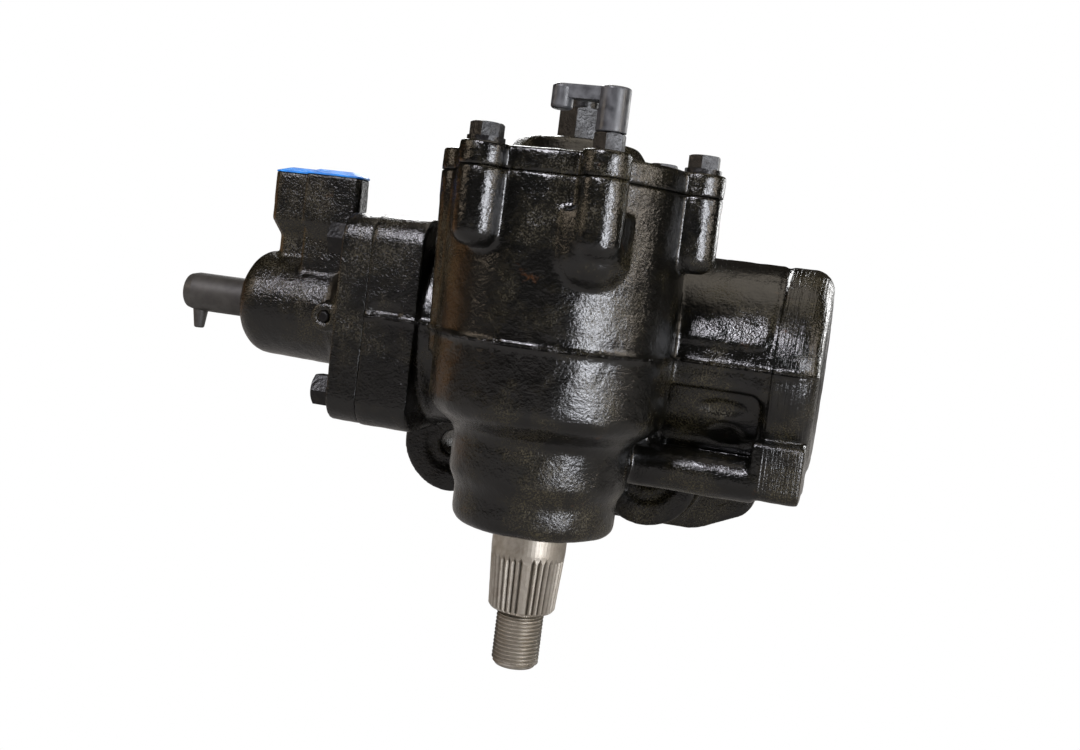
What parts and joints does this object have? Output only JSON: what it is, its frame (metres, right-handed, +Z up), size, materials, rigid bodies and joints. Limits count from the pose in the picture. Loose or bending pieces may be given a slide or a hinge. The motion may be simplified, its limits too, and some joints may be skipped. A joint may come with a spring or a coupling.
{
  "type": "recirculating-ball power steering gear",
  "caption": "Integral power steering gear: cast housing with rack piston, sector shaft for a pitman arm, rotary valve and input shaft, bolted to a frame rail.",
  "frame": {"origin": "on the sector shaft's axis, at the large end of its serrated taper, where the pitman arm seats", "axes": "+X along the cylinder to its closed end, +Y to the frame rail, +Z up the sector shaft to the side cover"},
  "size_m": [0.3465, 0.1769, 0.265],
  "materials": {
    "housing_paint": "gloss black paint over sand-cast iron",
    "bolt_paint": "gloss black paint on steel",
    "bare_steel": "turned and ground steel, slightly dulled",
    "hardened_steel": "ground and hardened",
    "bearing_steel": "polished",
    "seal_rubber": "moulded nitrile rubber",
    "cap_rubber": "moulded rubber, satin",
    "cap_plastic": "moulded polyethylene, dark grey",
    "port_plastic": "moulded polyethylene, clear blue",
    "bushing_bronze": "rolled bearing bronze",
    "seat_brass": "turned",
    "ptfe": "filled PTFE",
    "plug_steel": "painted steel plug"
  },
  "bodies": {
    "root": {"gear_housing": "housing_paint", "sector_cover": "housing_paint", "valve_housing": "housing_paint", "cover_bolts": "bolt_paint", "valve_housing_bolts": "bolt_paint", "adjuster_lock_nut": "bolt_paint", "adjuster_screw": "bolt_paint", "pressed_plug": "plug_steel", "sector_bearing_cup": "hardened_steel", "sector_bearing_needles": "bearing_steel", "sector_oil_seal": "seal_rubber", "sector_seal_washer": "hardened_steel", "sector_dust_seal": "seal_rubber", "sector_snap_ring": "hardened_steel", "cover_bushing": "bushing_bronze", "cover_seal_ring": "seal_rubber", "valve_housing_seal": "seal_rubber", "port_seats": "seat_brass", "thrust_bearing_rear": "bearing_steel", "thrust_bearing_front": "bearing_steel", "worm_race_nut": "hardened_steel", "input_bearing": "hardened_steel", "input_bearing_needles": "bearing_steel", "input_oil_seal": "seal_rubber", "input_snap_ring": "hardened_steel", "input_dust_seal": "seal_rubber"},
    "piston": {"rack_piston": "hardened_steel", "piston_seal_ring": "ptfe", "piston_end_plug": "hardened_steel", "ball_return_guide": "hardened_steel", "guide_clamp": "hardened_steel", "guide_clamp_screws": "hardened_steel", "recirculating_balls": "bearing_steel"},
    "sector": {"sector_shaft": "bare_steel", "adjuster_retainer": "hardened_steel"},
    "worm": {"worm_shaft": "hardened_steel", "valve_sleeve": "hardened_steel", "sleeve_seal_rings": "ptfe", "sleeve_pin": "hardened_steel"},
    "input": {"input_shaft": "hardened_steel", "torsion_bar": "hardened_steel", "torsion_bar_pin": "hardened_steel"},
    "input_cap": {"input_transit_cap": "cap_plastic"},
    "bleeder": {"bleeder_screw": "bolt_paint"},
    "bleeder_cap": {"bleeder_cap": "cap_rubber"},
    "port_cover": {"port_cover": "port_plastic"}
  },
  "joints": [
    {"name": "piston_slide", "type": "slide", "parent": "root", "child": "piston", "axis": [1, 0, 0], "range_m": [-0.027, 0.027]},
    {"name": "sector_turn", "type": "hinge", "parent": "root", "child": "sector", "pos_m": [0, 0, 0], "axis": [0, 0, 1], "range_deg": [-44.3, 44.3]},
    {"name": "worm_turn", "type": "hinge", "parent": "root", "child": "worm", "pos_m": [0, 0.06075, 0.0945], "axis": [1, 0, 0], "range_deg": [-748.5, 748.5]},
    {"name": "valve_twist", "type": "hinge", "parent": "worm", "child": "input", "pos_m": [0, 0.06075, 0.0945], "axis": [1, 0, 0], "range_deg": [-4.5, 4.5], "stiffness_Nm_per_rad": 60},
    {"name": "input_cap_pull", "type": "slide", "parent": "input", "child": "input_cap", "axis": [-1, 0, 0], "range_m": [0, 0.035]},
    {"name": "bleeder_turn", "type": "hinge", "parent": "root", "child": "bleeder", "pos_m": [0.02564, -0.05258, 0.19], "axis": [0, 0, 1], "range_deg": [0, 270]},
    {"name": "bleeder_cap_pull", "type": "slide", "parent": "root", "child": "bleeder_cap", "axis": [0, 0, 1], "range_m": [0, 0.02]},
    {"name": "port_cover_pull", "type": "slide", "parent": "root", "child": "port_cover", "axis": [0, 0, 1], "range_m": [0, 0.015]}
  ],
  "couplings": [
    {"joint": "sector_turn", "follows": "piston_slide", "rad_per_m": -28.571},
    {"joint": "worm_turn", "follows": "piston_slide", "rad_per_m": -483.32}
  ]
}
